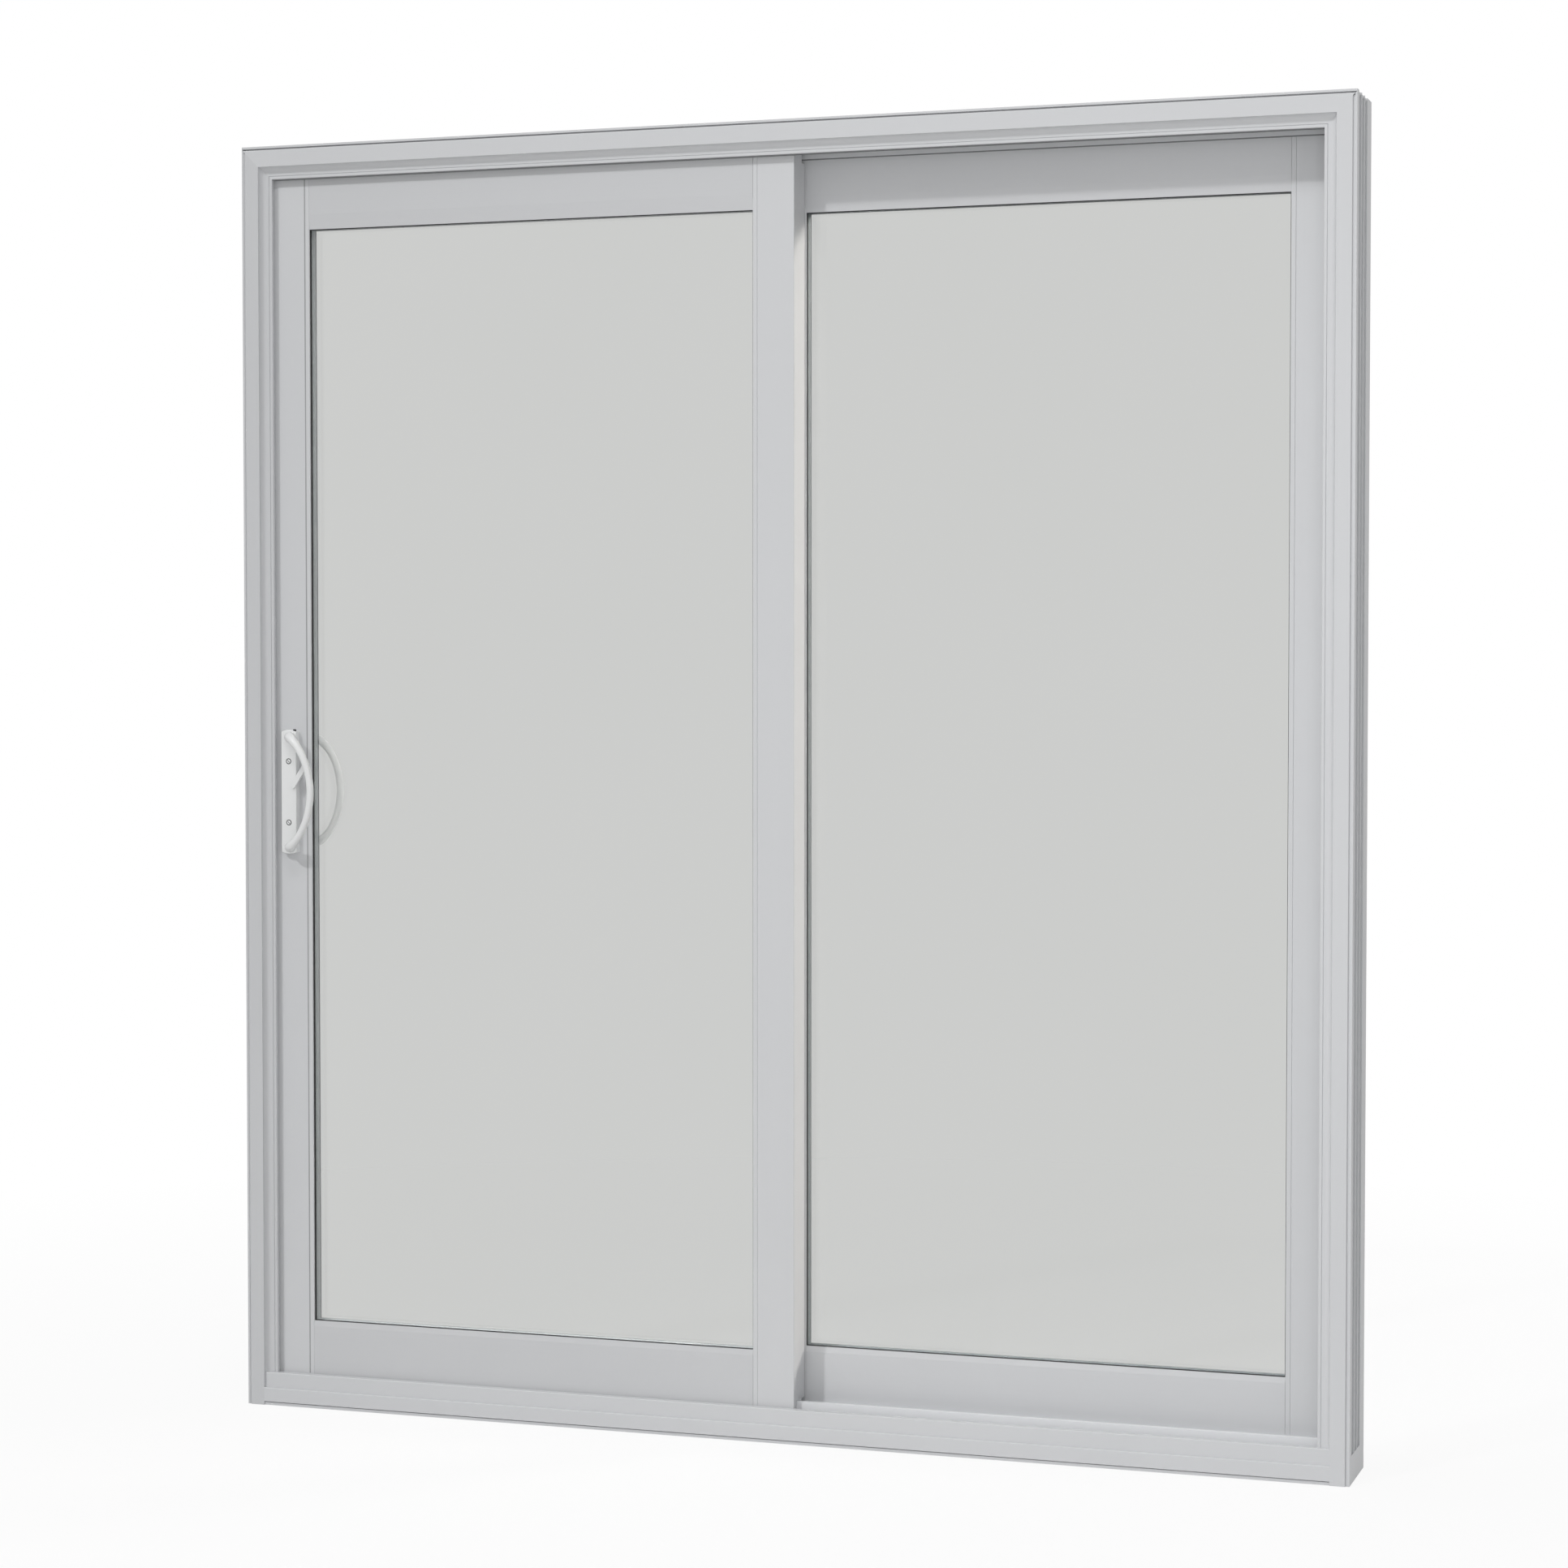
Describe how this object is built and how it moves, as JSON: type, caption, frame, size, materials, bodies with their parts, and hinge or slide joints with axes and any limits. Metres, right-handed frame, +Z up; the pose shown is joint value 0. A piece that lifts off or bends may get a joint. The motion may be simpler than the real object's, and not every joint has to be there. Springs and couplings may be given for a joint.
{
  "type": "glass sliding patio door",
  "caption": "White vinyl sliding patio door: a sliding glazed panel in front of a fixed one in a mitred frame, with a bowed pull on each face and a thumb latch.",
  "frame": {"origin": "middle of the sill's underside", "axes": "+X to the right seen from the room, +Y from the room to the outside, +Z up"},
  "size_m": [1.7906, 0.153, 2.032],
  "materials": {
    "frame_vinyl": "satin white vinyl",
    "panel_vinyl": "satin white vinyl",
    "clear_glass": "clear float glass",
    "black_gasket": "black glazing gasket",
    "grey_spacer": "mill grey spacer",
    "handle_enamel": "white enamel",
    "lock_steel": "brushed",
    "roller_nylon": "nylon"
  },
  "bodies": {
    "frame": {"head": "frame_vinyl", "left_jamb": "frame_vinyl", "right_jamb": "frame_vinyl", "sill": "frame_vinyl", "roller_rail": "frame_vinyl", "lock_keeper": "lock_steel", "fixed_jamb_stile": "panel_vinyl", "fixed_meeting_stile": "panel_vinyl", "fixed_top_rail": "panel_vinyl", "fixed_bottom_rail": "panel_vinyl", "fixed_inner_lite": "clear_glass", "fixed_outer_lite": "clear_glass", "fixed_gasket": "black_gasket", "fixed_spacer": "grey_spacer", "fixed_glazing_bead": "panel_vinyl", "fixed_interlock": "panel_vinyl"},
    "sliding_panel": {"sliding_lock_stile": "panel_vinyl", "sliding_meeting_stile": "panel_vinyl", "sliding_top_rail": "panel_vinyl", "sliding_bottom_rail": "panel_vinyl", "sliding_inner_lite": "clear_glass", "sliding_outer_lite": "clear_glass", "sliding_gasket": "black_gasket", "sliding_spacer": "grey_spacer", "sliding_glazing_bead": "panel_vinyl", "sliding_interlock": "panel_vinyl", "roller_housings": "lock_steel", "roller_wheels": "roller_nylon", "lock_plate": "lock_steel", "inner_handle": "handle_enamel", "outer_handle": "handle_enamel"},
    "thumb_latch": {"thumb_lever": "handle_enamel"}
  },
  "joints": [
    {"name": "panel_slide", "type": "slide", "parent": "frame", "child": "sliding_panel", "axis": [1, 0, 0], "range_m": [0, 0.715]},
    {"name": "latch_turn", "type": "hinge", "parent": "sliding_panel", "child": "thumb_latch", "pos_m": [-0.81225, -0.0583, 1.0065], "axis": [0, 1, 0], "range_deg": [0, 100]}
  ]
}
